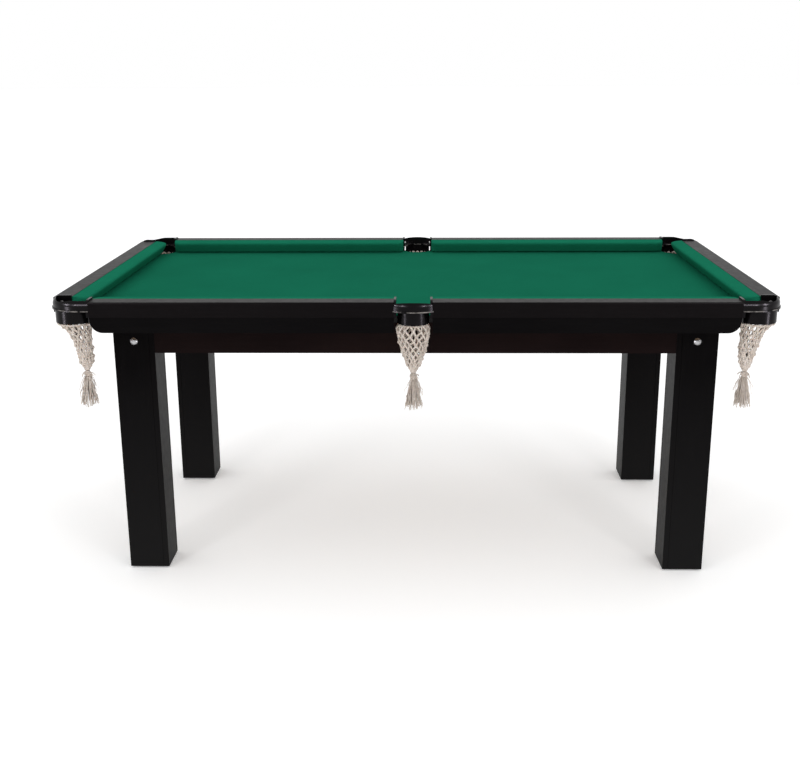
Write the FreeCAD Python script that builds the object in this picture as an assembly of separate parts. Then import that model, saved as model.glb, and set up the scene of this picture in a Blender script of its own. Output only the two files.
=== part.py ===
"""Six-pocket pool table on four square box legs. Millimetres, +Z up.

The origin is on the floor, under the centre of the table. X runs along the table, Y across it.
Every piece is written to parts/NODE.step, where NODE is the piece's name.
"""
import FreeCAD, Part
import math
import os

V = FreeCAD.Vector

# ---- driving dimensions ---------------------------------------------------------------------
TABLE_LENGTH = 1910.0      # outer faces of the end rails
TABLE_WIDTH = 1100.0       # outer faces of the long rails
RAIL_TOP = 812.0           # top of the wooden rails above the floor
RAIL_HEIGHT = 40.0
RAIL_WOOD = 50.0           # width of the wooden strip
RAIL_ROUND = 4.0           # rounding of the rail's outer top edge
CUSHION_REACH = 42.0       # nose line, in from the wooden strip
NOSE_DROP = 7.0            # nose line below the rail top
NOSE_BLUNT = 3.5           # height of the blunt nose
UNDERCUT_REACH = 16.0      # foot of the cushion, in from the wood
CUSHION_FOOT_GAP = 2.0     # air between the cushion's foot and the bed cloth
WRAP = 1.2                 # thickness of the cloth on the cushions
ROUND_CORNER = 52.0        # length over which a nose curves away at a corner pocket
ROUND_MIDDLE = 30.0        # and at a middle pocket
BED_THICK = 18.0
BED_CLOTH = 1.0
SKIRT_TOP = 28.0           # width of the skirt's top edge
SKIRT_HEIGHT = 45.0
SKIRT_SET = 2.0            # skirt's top edge, in from the rail face
SKIRT_LEAN = 16.0          # how far the skirt's foot stands in from its top edge
SKIRT_FOOT = 12.0          # width of the skirt's lower edge
SKIRT_END_ROUND = 30.0     # rounding of a skirt's lower end corners
SKIRT_CLEAR = 2.0          # air between a long skirt's end and a corner cup
SKIRT_END_CLEAR = 4.0      # and between an end skirt and the cup
APRON_HEIGHT = 111.0
APRON_THICK = 18.0
APRON_SET = 2.0            # apron face, in from the leg face
BEAM_WIDE = 30.0           # cross beams under the bed
BEAM_HIGH = 60.0
BEAM_COUNT = 5
LEG_SIDE = 112.0
LEG_BOARD = 15.0
LEG_IN_X = 134.0           # leg face, in from the end rail's face
LEG_IN_Y = 138.0           # leg face, in from the long rail's face
LEG_EDGE = 1.5             # bevel on the leg's outer corners
LEG_SEAM = 0.8             # bevel along each glued seam
FOOT_BLOCK = 40.0          # wooden plug in the foot of a leg
CORNER_BLOCK = 150.0       # block in the top of a leg
BOLT_R = 4.0               # M8
BOLT_HEAD_R = 10.5
BOLT_HEAD_HIGH = 5.5
BOLT_DOWN = 78.0           # bolt axis below the top of the apron
NUT_R = 7.5
NUT_HIGH = 6.5
GLIDE_R = 20.0             # foot pad
GLIDE_HIGH = 5.0
GLIDE_WALL = 1.6
STUD_R = 4.0               # M8, 1.25 mm pitch
STUD_LONG = 34.0
STUD_HEAD_R = 7.0
STUD_HEAD_HIGH = 2.6
RUN_CLEAR = 0.08           # radial clearance of a running fit
CORNER_ARM_X = 114.0       # corner casting along the long rail, more for a large cup
CORNER_ARM_Y = 78.0        # and along the end rail
CORNER_ROUND = 85.0
CORNER_HOLE_X = 62.0       # centre of the corner cup, in from the corner
CORNER_HOLE_Y = 58.0
CORNER_CUP_R = 50.0        # outer radius of the cup below the rail
MIDDLE_HALF = 50.0         # half the width of a middle casting
MIDDLE_BULGE = 15.0        # how far it stands out from the rail face
MIDDLE_HOLE_IN = 33.0      # centre of the cup, in from the rail face
MIDDLE_CUP_R = 41.0
CASTING_WALL = 9.0
CASTING_LIP = 6.0          # wall against the rail's end
CASTING_RISE = 5.0         # rim above the rail top
CASTING_ROUND = 18.0        # rounding of the rim's outer edge
CUP_WALL = 4.0
CUP_BOTTOM = 752.0
RIDGE_Z = 786.0
RIDGE_HIGH = 4.0
RIDGE_OUT = 2.5
BED_HOLE_CLEAR = 0.5
NET_THICK = 2.5
NET_NECK_R = 9.0
# Net outlines from the cup down: depth below the cup, radius, lean towards the table's middle.
# The first radius follows the cup's.
CORNER_NET = [(25.0, 32.0, 6.0), (49.0, 27.5, 13.0), (82.0, 23.5, 18.0),
              (113.0, 19.0, 20.0), (126.0, 12.0, 20.0)]
MIDDLE_NET = [(11.0, 48.0, 0.0), (25.0, 47.0, 0.0), (49.0, 41.0, 0.0), (79.0, 33.0, 0.0),
              (107.0, 24.0, 0.0), (120.0, 15.0, 0.0)]
NET_LONG = 134.0           # cup to neck
TAIL_KNOT_R = 11.0
TAIL_NECK_R = 8.0
TAIL_LONG = 78.0
TAIL_FOOT_R = 20.0
TAIL_GAP = 0.4
SCREW_R = 2.5
SCREW_HEAD_R = 5.0
SCREW_LONG = 40.0
SCREW_HEAD_HIGH = 3.0
SIDE_SCREW_LONG = 36.0     # screws that hold the castings to the rail ends
SIDE_SCREW_DOWN = 14.0     # their axis below the rail top

# ---- levels and planes that follow ----------------------------------------------------------
HX, HY = TABLE_LENGTH / 2.0, TABLE_WIDTH / 2.0
BED_TOP = RAIL_TOP - RAIL_HEIGHT            # playing surface
BOARD_TOP = BED_TOP - BED_CLOTH
BOARD_LOW = BOARD_TOP - BED_THICK
BED_IN = SKIRT_SET + SKIRT_TOP              # bed edge, in from the rail face
LX, LY = HX - LEG_IN_X, HY - LEG_IN_Y
LEG_LOW = GLIDE_HIGH
APRON_LOW = BOARD_LOW - APRON_HEIGHT
RIM_TOP = RAIL_TOP + CASTING_RISE

parts = {}


def put(name, *solids):
    shape = solids[0] if len(solids) == 1 else Part.Compound(list(solids))
    parts[name] = shape


def box(x0, y0, z0, x1, y1, z1):
    return Part.makeBox(x1 - x0, y1 - y0, z1 - z0, V(x0, y0, z0))


def cyl(x, y, z0, z1, r, axis=V(0, 0, 1)):
    return Part.makeCylinder(r, z1 - z0, V(x, y, z0), axis)


def prism(points, vec):
    """A polygon swept along vec."""
    wire = Part.makePolygon([V(*p) for p in points] + [V(*points[0])])
    return Part.Face(wire).extrude(vec)


def flip(shape, sx, sy):
    """The copy of a front-left piece for another corner, side or end."""
    out = shape
    if sx > 0:
        out = out.mirror(V(0, 0, 0), V(1, 0, 0))
    if sy > 0:
        out = out.mirror(V(0, 0, 0), V(0, 1, 0))
    return out


def revolve(points, centre):
    """Turn an (r, z) outline about the vertical line through centre."""
    pts = [V(centre[0] + r, centre[1], z) for r, z in points]
    face = Part.Face(Part.makePolygon(pts + [pts[0]]))
    return face.revolve(V(centre[0], centre[1], 0), V(0, 0, 1), 360)


# Everything below is made for the front-left quarter, at negative X and Y, then mirrored.
CORNER = (-HX + CORNER_HOLE_X, -HY + CORNER_HOLE_Y)
MIDDLE = (0.0, -HY + MIDDLE_HOLE_IN)

# ---- bed ------------------------------------------------------------------------------------


def pocket_cuts(z0, z1, extra):
    cuts = []
    for sx in (-1, 1):
        for sy in (-1, 1):
            cuts.append(cyl(-sx * CORNER[0], -sy * CORNER[1], z0, z1, CORNER_CUP_R + extra))
    for sy in (-1, 1):
        cuts.append(cyl(0, -sy * MIDDLE[1], z0, z1, MIDDLE_CUP_R + extra))
    return cuts


def bed_layer(z0, z1, extra):
    slab = box(-HX + BED_IN, -HY + BED_IN, z0, HX - BED_IN, HY - BED_IN, z1)
    slab = slab.cut(pocket_cuts(z0 - 1, z1 + 1, extra))
    return max(slab.Solids, key=lambda s: s.Volume)


def side_screw(at, way):
    """A pan-head screw through a casting's lip into the end of a rail."""
    shank = Part.makeCylinder(SCREW_R, SIDE_SCREW_LONG, at, way)
    head = Part.makeCylinder(SCREW_HEAD_R, SCREW_HEAD_HIGH, at, way * -1.0)
    return head.fuse(shank)


def screw(x, y, z_under, up=SCREW_LONG):
    """A pan-head screw driven upwards; its head bears on the plane z_under."""
    shank = cyl(x, y, z_under, z_under + up, SCREW_R)
    head = cyl(x, y, z_under - SCREW_HEAD_HIGH, z_under, SCREW_HEAD_R)
    return head.fuse(shank)


ARM_X = max(CORNER_ARM_X, CORNER_HOLE_X + CORNER_CUP_R + SKIRT_CLEAR)
LONG_IN = -HX + ARM_X                        # a long rail half runs from here ...
LONG_OUT = -MIDDLE_HALF                      # ... to here
END_IN = -HY + CORNER_ARM_Y                  # an end rail runs from here to the mirror place

rail_mid_y = -HY + (BED_IN + RAIL_WOOD) / 2.0
rail_mid_x = -HX + (BED_IN + RAIL_WOOD) / 2.0
SCREW_INSET = 60.0
long_screw_x = [LONG_IN + SCREW_INSET, (LONG_IN + LONG_OUT) / 2.0, LONG_OUT - SCREW_INSET]
end_screw_y = [END_IN + SCREW_INSET, 0.0, -END_IN - SCREW_INSET]
screw_spots = []
for sx in (-1, 1):
    for sy in (-1, 1):
        screw_spots += [(-sx * x, -sy * rail_mid_y) for x in long_screw_x]
    screw_spots += [(-sx * rail_mid_x, y) for y in end_screw_y]
screws = [screw(x, y, BOARD_LOW) for x, y in screw_spots]
side_z = RAIL_TOP - SIDE_SCREW_DOWN
wood_mid = RAIL_WOOD / 2.0
lip_x, lip_y = -HX + ARM_X - CASTING_LIP, -HY + CORNER_ARM_Y - CASTING_LIP
lip_m = -MIDDLE_HALF + CASTING_LIP
side_left = [side_screw(V(lip_x, -HY + wood_mid, side_z), V(1, 0, 0)),
             side_screw(V(-HX + wood_mid, lip_y, side_z), V(0, 1, 0)),
             side_screw(V(lip_m, -HY + wood_mid, side_z), V(-1, 0, 0))]
for sx in (-1, 1):
    for sy in (-1, 1):
        screws += [flip(s, sx, sy) for s in side_left]
shanks = screws

put("bed_board", bed_layer(BOARD_LOW, BOARD_TOP, BED_HOLE_CLEAR).cut(shanks))
put("bed_cloth", bed_layer(BOARD_TOP, BED_TOP, BED_HOLE_CLEAR).cut(shanks))
put("wood_screws", *screws)

# ---- rails and cushions ---------------------------------------------------------------------


def rail_section(length):
    """Wooden rail along +X from 0, outer face at y = 0, inner face at y = RAIL_WOOD."""
    bar = box(0, 0, BED_TOP, length, RAIL_WOOD, RAIL_TOP)
    edges = [e for e in bar.Edges
             if abs(e.CenterOfMass.y) < 0.01 and abs(e.CenterOfMass.z - RAIL_TOP) < 0.01]
    return bar.makeFillet(RAIL_ROUND, edges)


nose_z = RAIL_TOP - NOSE_DROP


def cushion_outline(inset):
    """Section (y, z) of the cushion; inset leaves room for the cloth."""
    w, r = RAIL_WOOD, CUSHION_REACH
    return [(w, RAIL_TOP - inset),
            (w + r - 3.0 - 0.4 * inset, nose_z + 2.5 - inset),
            (w + r - inset, nose_z - 0.3 * inset),
            (w + r - inset, nose_z - NOSE_BLUNT + 0.3 * inset),
            (w + UNDERCUT_REACH - 0.6 * inset, BED_TOP + CUSHION_FOOT_GAP + inset),
            (w, BED_TOP + CUSHION_FOOT_GAP + inset)]


def nose_plan(s0, s1, round0, round1, inset):
    """Plan of a cushion whose nose curves back to the wood at both ends."""
    depth = CUSHION_REACH + 1.0 - inset
    y0, y1 = RAIL_WOOD, RAIL_WOOD + depth
    a, b = s0 + inset, s1 - inset

    def bend(s, away, sign):
        radius = (away ** 2 + depth ** 2) / (2.0 * depth)
        centre = (s + sign * away, y1 - radius)
        full = math.atan2(y0 - centre[1], s - centre[0])
        top = math.pi / 2.0
        if sign < 0 and full < -math.pi / 2.0:
            full += 2 * math.pi
        if sign > 0 and full < 0:
            full += 2 * math.pi
        half = (full + top) / 2.0
        return V(centre[0] + radius * math.cos(half), centre[1] + radius * math.sin(half), 0)

    p0, p1 = V(a, y0, 0), V(a + round0, y1, 0)
    p2, p3 = V(b - round1, y1, 0), V(b, y0, 0)
    edges = [Part.Arc(p0, bend(a, round0, 1), p1).toShape(),
             Part.makeLine(p1, p2),
             Part.Arc(p2, bend(b, round1, -1), p3).toShape(),
             Part.makeLine(p3, p0)]
    face = Part.Face(Part.Wire(edges))
    face.translate(V(0, 0, BED_TOP - 10))
    return face.extrude(V(0, 0, RAIL_HEIGHT + 20))


def cushion(s0, s1, round0, round1, inset):
    bar = prism([(s0 - 5, y, z) for y, z in cushion_outline(inset)], V(s1 - s0 + 10, 0, 0))
    return bar.common(nose_plan(s0, s1, round0, round1, inset)).Solids[0]


def along_front(shape):
    return shape.translated(V(0, -HY, 0))


def along_left(shape):
    """Turn a piece made along X at y >= 0 so that it runs along Y inside the left end."""
    turned = shape.copy()
    turned.rotate(V(0, 0, 0), V(0, 0, 1), 90)
    turned = turned.mirror(V(0, 0, 0), V(1, 0, 0))
    return turned.translated(V(-HX, 0, 0))


long_rail = rail_section(LONG_OUT - LONG_IN).translated(V(LONG_IN, -HY, 0))
end_rail = along_left(rail_section(-2 * END_IN).translated(V(END_IN, 0, 0)))
long_core = along_front(cushion(LONG_IN, LONG_OUT, ROUND_CORNER, ROUND_MIDDLE, WRAP))
long_skin = along_front(cushion(LONG_IN, LONG_OUT, ROUND_CORNER, ROUND_MIDDLE, 0.0)).cut(long_core)
end_core = along_left(cushion(END_IN, -END_IN, ROUND_CORNER, ROUND_CORNER, WRAP))
end_skin = along_left(cushion(END_IN, -END_IN, ROUND_CORNER, ROUND_CORNER, 0.0)).cut(end_core)

QUARTERS = {"front_left": (-1, -1), "front_right": (1, -1),
            "back_left": (-1, 1), "back_right": (1, 1)}
ENDS = {"left": (-1, -1), "right": (1, -1)}
SIDES = {"front": (-1, -1), "back": (-1, 1)}
cores = []
for name, (sx, sy) in QUARTERS.items():
    put("rail_" + name, flip(long_rail, sx, sy).cut(shanks))
    put("cushion_cloth_" + name, flip(long_skin, sx, sy))
    cores.append(flip(long_core, sx, sy))
for name, (sx, sy) in ENDS.items():
    put("rail_end_" + name, flip(end_rail, sx, sy).cut(shanks))
    put("cushion_cloth_end_" + name, flip(end_skin, sx, sy))
    cores.append(flip(end_core, sx, sy))
put("cushion_rubbers", *cores)

# ---- skirts: leaning boards round the edge of the bed ----------------------------------------
SKIRT_LOW = BED_TOP - SKIRT_HEIGHT
top_out = SKIRT_SET
foot_out = SKIRT_SET + SKIRT_LEAN


def skirt(length, round0, round1):
    """Skirt along +X from 0, lower end corners rounded where asked."""
    outline = [(top_out, BED_TOP), (BED_IN, BED_TOP), (BED_IN, BOARD_LOW),
               (foot_out + SKIRT_FOOT, SKIRT_LOW), (foot_out, SKIRT_LOW)]
    bar = prism([(0, y, z) for y, z in outline], V(length, 0, 0))
    r = SKIRT_END_ROUND
    for end, wanted in ((0, round0), (1, round1)):
        if not wanted:
            continue
        x0 = -1.0 if end == 0 else length - r
        block = box(x0, -5, SKIRT_LOW - 1, x0 + r + 1, BED_IN + 5, SKIRT_LOW + r)
        disc = Part.makeCylinder(r, BED_IN + 20, V(r if end == 0 else length - r, -10, SKIRT_LOW + r),
                                 V(0, 1, 0))
        bar = bar.cut(block.cut(disc))
    return bar


long_skirt = along_front(skirt(LONG_OUT - LONG_IN, True, False).translated(V(LONG_IN, 0, 0)))
SKIRT_END_IN = -HY + CORNER_HOLE_Y + CORNER_CUP_R + SKIRT_END_CLEAR
end_skirt = along_left(skirt(-2 * SKIRT_END_IN, True, True).translated(V(SKIRT_END_IN, 0, 0)))
for name, (sx, sy) in QUARTERS.items():
    put("skirt_" + name, flip(long_skirt, sx, sy))
for name, (sx, sy) in ENDS.items():
    put("skirt_end_" + name, flip(end_skirt, sx, sy))

# ---- pocket castings ------------------------------------------------------------------------


def tube(centre, r_out, r_in, z0, z1):
    return cyl(centre[0], centre[1], z0, z1, r_out).cut(cyl(centre[0], centre[1], z0 - 1, z1 + 1, r_in))


def corner_plan(grow, z0, z1):
    """Block over the corner, its outer corner rounded; grow moves the outer faces outwards."""
    x0, y0 = -HX - grow, -HY - grow
    block = box(x0, y0, z0, -HX + ARM_X, -HY + CORNER_ARM_Y, z1)
    r = CORNER_ROUND + grow
    centre = (-HX + CORNER_ROUND, -HY + CORNER_ROUND)
    cutter = box(x0 - 1, y0 - 1, z0 - 1, centre[0], centre[1], z1 + 1)
    return block.cut(cutter.cut(cyl(centre[0], centre[1], z0 - 2, z1 + 2, r)))


def corner_casting():
    end_x, end_y = -HX + ARM_X, -HY + CORNER_ARM_Y
    upper = corner_plan(0.0, RIDGE_Z, RIM_TOP)
    rim = [e for e in upper.Edges if abs(e.CenterOfMass.z - RIM_TOP) < 0.01
           and e.CenterOfMass.x < end_x - 1 and e.CenterOfMass.y < end_y - 1]
    upper = upper.makeFillet(CASTING_ROUND, rim)
    lips = corner_plan(0.0, BED_TOP, RIDGE_Z).common(Part.Compound([
        box(end_x - CASTING_LIP, -HY, BED_TOP, end_x, -HY + RAIL_WOOD, RIDGE_Z),
        box(-HX, end_y - CASTING_LIP, BED_TOP, -HX + RAIL_WOOD, end_y, RIDGE_Z)]))
    well = corner_plan(-CASTING_WALL, RIDGE_Z + RIDGE_HIGH, RIM_TOP + 1)
    well = well.cut([box(end_x - CASTING_LIP, -HY, BED_TOP, end_x, 0, RIM_TOP + 2),
                     box(-HX, end_y - CASTING_LIP, BED_TOP, 0, end_y, RIM_TOP + 2)])
    open_bed = box(-HX + RAIL_WOOD, -HY + RAIL_WOOD, BED_TOP, end_x + 1, end_y + 1, RIM_TOP + 1)
    upper = upper.fuse([corner_plan(RIDGE_OUT, RIDGE_Z, RIDGE_Z + RIDGE_HIGH), lips])
    collar = tube(CORNER, CORNER_CUP_R, CORNER_CUP_R - CUP_WALL, BED_TOP, RIDGE_Z)
    upper = upper.fuse(collar.common(box(-HX, -HY, BED_TOP, end_x, end_y, RIDGE_Z)))
    bore = cyl(CORNER[0], CORNER[1], CUP_BOTTOM - 1, RIM_TOP, CORNER_CUP_R - CUP_WALL)
    upper = upper.cut([well, open_bed, bore.common(box(-HX, -HY, 0, end_x - CASTING_LIP,
                                                       end_y - CASTING_LIP, RIM_TOP))])
    ring = tube(CORNER, CORNER_CUP_R, CORNER_CUP_R - CUP_WALL, CUP_BOTTOM, BED_TOP)
    return upper.fuse(ring).removeSplitter()


def middle_plan(grow, z0, z1):
    """Rounded nose standing out of the rail line, straight sides against the rail ends."""
    half = MIDDLE_HALF
    out = MIDDLE_BULGE + grow
    y_face = -HY
    mid = V(0, y_face - out, 0)
    a, b = V(-half - grow, y_face, 0), V(half + grow, y_face, 0)
    c, d = V(half + grow, -HY + RAIL_WOOD, 0), V(-half - grow, -HY + RAIL_WOOD, 0)
    edges = [Part.Arc(a, mid, b).toShape(), Part.makeLine(b, c), Part.makeLine(c, d), Part.makeLine(d, a)]
    face = Part.Face(Part.Wire(edges))
    face.translate(V(0, 0, z0))
    return face.extrude(V(0, 0, z1 - z0))


def middle_casting():
    upper = middle_plan(0.0, RIDGE_Z, RIM_TOP)
    rim = [e for e in upper.Edges if abs(e.CenterOfMass.z - RIM_TOP) < 0.01 and e.CenterOfMass.y < -HY]
    upper = upper.makeFillet(CASTING_ROUND, rim)
    outside = box(-HX, -HY - 60, 0, HX, -HY, 2 * RAIL_TOP)
    ridge = middle_plan(RIDGE_OUT, RIDGE_Z, RIDGE_Z + RIDGE_HIGH).common(outside)
    lips = box(-MIDDLE_HALF, -HY, BED_TOP, MIDDLE_HALF, -HY + RAIL_WOOD, RIDGE_Z)
    well = middle_plan(-CASTING_LIP, RIDGE_Z + RIDGE_HIGH, RIM_TOP + 1).common(outside)
    mouth = box(-MIDDLE_HALF + CASTING_LIP, -HY, RIDGE_Z + RIDGE_HIGH, MIDDLE_HALF - CASTING_LIP,
                -HY + RAIL_WOOD + 1, RIM_TOP + 1)
    drop = box(-MIDDLE_HALF + CASTING_LIP, MIDDLE[1], BED_TOP, MIDDLE_HALF - CASTING_LIP,
               -HY + RAIL_WOOD + 1, RIM_TOP)
    low_gap = box(-MIDDLE_HALF + CASTING_LIP, -HY, BED_TOP,
                  MIDDLE_HALF - CASTING_LIP, MIDDLE[1] + 1, RIDGE_Z)
    collar = tube(MIDDLE, MIDDLE_CUP_R, MIDDLE_CUP_R - CUP_WALL, BED_TOP, RIDGE_Z)
    collar = collar.common(box(-HX, -HY - 60, BED_TOP, HX, MIDDLE[1], RIDGE_Z))
    bore = cyl(MIDDLE[0], MIDDLE[1], CUP_BOTTOM - 1, RIM_TOP, MIDDLE_CUP_R - CUP_WALL)
    upper = upper.fuse([ridge, lips]).cut([well, mouth, drop, low_gap]).fuse(collar).cut(bore)
    ring = tube(MIDDLE, MIDDLE_CUP_R, MIDDLE_CUP_R - CUP_WALL, CUP_BOTTOM, BED_TOP)
    return upper.fuse(ring).removeSplitter()


corner = corner_casting()
middle = middle_casting()
for name, (sx, sy) in QUARTERS.items():
    put("casting_" + name, flip(corner, sx, sy).cut(screws))
for name, (sx, sy) in SIDES.items():
    put("casting_middle_" + name, flip(middle, sx, sy).cut(screws))

# ---- net bags and their tied tails ----------------------------------------------------------


def bag(centre, cup_r, outline):
    """Thin funnel under the cup's edge, open above and closed at the tied neck."""
    levels = [(0.0, cup_r - 0.5, 0.0)] + outline + [(NET_LONG, NET_NECK_R, outline[-1][2])]

    def skin(rows, offset):
        wires = [Part.Wire(Part.makeCircle(r - offset, V(centre[0] + lean, centre[1], CUP_BOTTOM - down)))
                 for down, r, lean in rows]
        return Part.makeLoft(wires, True, False)

    return skin(levels, 0.0).cut(skin(levels[:-1], NET_THICK))


def tail(centre, lean):
    """Tassel below a round knot; it swings about the middle of the knot."""
    x, y = centre[0] + lean, centre[1]
    middle = CUP_BOTTOM - NET_LONG - TAIL_GAP - TAIL_KNOT_R
    low = middle - TAIL_KNOT_R + 3.0
    foot = low - TAIL_LONG
    brush = revolve([(0, middle), (TAIL_NECK_R, middle), (TAIL_NECK_R, low), (TAIL_FOOT_R, foot + 8),
                     (TAIL_FOOT_R - 4, foot), (0, foot)], (x, y))
    return Part.makeSphere(TAIL_KNOT_R, V(x, y, middle)).fuse(brush)


corner_net, corner_tail = bag(CORNER, CORNER_CUP_R, CORNER_NET), tail(CORNER, CORNER_NET[-1][2])
middle_net, middle_tail = bag(MIDDLE, MIDDLE_CUP_R, MIDDLE_NET), tail(MIDDLE, 0.0)
for name, (sx, sy) in QUARTERS.items():
    put("net_" + name, flip(corner_net, sx, sy))
    put("net_tail_" + name, flip(corner_tail, sx, sy))
for name, (sx, sy) in SIDES.items():
    put("net_middle_" + name, flip(middle_net, sx, sy))
    put("net_tail_middle_" + name, flip(middle_tail, sx, sy))

# ---- legs, blocks, bolts --------------------------------------------------------------------
T = LEG_BOARD
leg_cx, leg_cy = -LX + LEG_SIDE / 2.0, -LY + LEG_SIDE / 2.0


def leg():
    """Four boards, each covering the next one's edge, and a plug in the foot."""
    x0, y0, x1, y1 = -LX, -LY, -LX + LEG_SIDE, -LY + LEG_SIDE
    z0, z1 = LEG_LOW, BOARD_LOW
    boards = [box(x0, y0, z0, x1 - T, y0 + T, z1), box(x1 - T, y0, z0, x1, y1 - T, z1),
              box(x0 + T, y1 - T, z0, x1, y1, z1), box(x0, y0 + T, z0, x0 + T, y1, z1)]
    shaped = []
    for board in boards:
        upright = [e for e in board.Edges if e.Length > z1 - z0 - 1]
        at_corner, at_seam = [], []
        for e in upright:
            on_x = min(abs(e.CenterOfMass.x - x0), abs(e.CenterOfMass.x - x1)) < 0.01
            on_y = min(abs(e.CenterOfMass.y - y0), abs(e.CenterOfMass.y - y1)) < 0.01
            if on_x and on_y:
                at_corner.append(e)
            elif on_x or on_y:
                at_seam.append(e)
        board = board.makeChamfer(LEG_EDGE, at_corner)
        spots = [(e.CenterOfMass.x, e.CenterOfMass.y) for e in at_seam]
        upright = [e for e in board.Edges if e.Length > z1 - z0 - 1]
        seams = [e for e in upright if any(abs(e.CenterOfMass.x - x) < 0.01
                                           and abs(e.CenterOfMass.y - y) < 0.01 for x, y in spots)]
        shaped.append(board.makeChamfer(LEG_SEAM, seams))
    plug = box(x0 + T, y0 + T, z0, x1 - T, y1 - T, z0 + FOOT_BLOCK)
    return shaped + [plug]


bolt_z = BOARD_LOW - BOLT_DOWN
bolt_hole = Part.makeCylinder(BOLT_R, LEG_SIDE + 40, V(leg_cx, -LY - 20, bolt_z), V(0, 1, 0))
block = box(-LX + T, -LY + T, BOARD_LOW - CORNER_BLOCK, -LX + LEG_SIDE - T, -LY + LEG_SIDE - T, BOARD_LOW)
block = block.cut(bolt_hole)

stud_top = LEG_LOW + STUD_LONG
bore = cyl(leg_cx, leg_cy, LEG_LOW - 1, stud_top + 1.0, STUD_R + RUN_CLEAR)


def carriage_bolt():
    shank = Part.makeCylinder(BOLT_R, LEG_SIDE + NUT_HIGH + 6, V(leg_cx, -LY, bolt_z), V(0, 1, 0))
    ball_r = (BOLT_HEAD_R ** 2 + BOLT_HEAD_HIGH ** 2) / (2 * BOLT_HEAD_HIGH)
    ball = Part.makeSphere(ball_r, V(leg_cx, -LY - BOLT_HEAD_HIGH + ball_r, bolt_z))
    keep = box(leg_cx - 30, -LY - 30, bolt_z - 30, leg_cx + 30, -LY, bolt_z + 30)
    return ball.common(keep).fuse(shank)


def hex_nut():
    y = -LY + LEG_SIDE
    pts = [(leg_cx + NUT_R * math.cos(math.radians(60 * i)), y,
            bolt_z + NUT_R * math.sin(math.radians(60 * i))) for i in range(6)]
    return prism(pts, V(0, NUT_HIGH, 0)).cut(bolt_hole)


bolt, nut = carriage_bolt(), hex_nut()
boards = [b.cut(bolt_hole) for b in leg()]
boards[-1] = boards[-1].cut(bore)
blocks, bolts, nuts = [], [], []
for name, (sx, sy) in QUARTERS.items():
    put("leg_" + name, *[flip(b, sx, sy) for b in boards])
    blocks.append(flip(block, sx, sy))
    bolts.append(flip(bolt, sx, sy))
    nuts.append(flip(nut, sx, sy))
put("corner_blocks", *blocks)
put("leg_bolts", *bolts)
put("leg_nuts", *nuts)

# ---- levelling feet: a pad that snaps over the head of a threaded stud -----------------------
head_low = GLIDE_WALL
head_high = head_low + STUD_HEAD_HIGH


def foot_pad():
    body = revolve([(0, 0), (GLIDE_R - 1.5, 0), (GLIDE_R, 1.5), (GLIDE_R, GLIDE_HIGH - 1.5),
                    (GLIDE_R - 1.5, GLIDE_HIGH - 0.3), (0, GLIDE_HIGH - 0.3)], (leg_cx, leg_cy))
    room = cyl(leg_cx, leg_cy, head_low - RUN_CLEAR, head_high + RUN_CLEAR, STUD_HEAD_R + RUN_CLEAR)
    return body.cut([room, cyl(leg_cx, leg_cy, head_low, GLIDE_HIGH + 1, STUD_R + RUN_CLEAR)])


def foot_stud():
    return cyl(leg_cx, leg_cy, head_low, head_high, STUD_HEAD_R).fuse(
        cyl(leg_cx, leg_cy, head_low, stud_top, STUD_R))


pad, stud = foot_pad(), foot_stud()
for name, (sx, sy) in QUARTERS.items():
    put("foot_pad_" + name, flip(pad, sx, sy))
    put("foot_stud_" + name, flip(stud, sx, sy))

# ---- aprons and cross beams -----------------------------------------------------------------
face = LY - APRON_SET
apron_x = LX - LEG_SIDE
front_apron = box(-apron_x, -face, APRON_LOW, apron_x, -face + APRON_THICK, BOARD_LOW)
face_x = LX - APRON_SET
apron_y = LY - LEG_SIDE
left_apron = box(-face_x, -apron_y, APRON_LOW, -face_x + APRON_THICK, apron_y, BOARD_LOW)
put("apron_front", front_apron)
put("apron_back", flip(front_apron, -1, 1))
put("apron_left", left_apron)
put("apron_right", flip(left_apron, 1, -1))
beam_y = face - APRON_THICK
first = -apron_x + LEG_SIDE
beams = []
for i in range(BEAM_COUNT):
    x = first + (-2 * first) * i / (BEAM_COUNT - 1)
    beams.append(box(x - BEAM_WIDE / 2, -beam_y, BOARD_LOW - BEAM_HIGH,
                     x + BEAM_WIDE / 2, beam_y, BOARD_LOW))
put("cross_beams", *beams)

os.makedirs("parts", exist_ok=True)
for name, shape in parts.items():
    good = all(s.isValid() for s in shape.Solids) and len(shape.Solids) > 0
    print(name, len(shape.Solids), "ok" if good else "BAD", round(shape.Volume / 1000.0, 2))
    shape.exportStep("parts/" + name + ".step")
print("nodes", len(parts))
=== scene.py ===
"""Final looks of the six-pocket pool table: materials, cloth, cushions, nets, tassels, light and camera.

Metres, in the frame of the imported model: floor at Z 0, X along the table, Y across it.
"""
import math
import random

import bmesh
import bpy
from mathutils import Matrix, Vector


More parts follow.
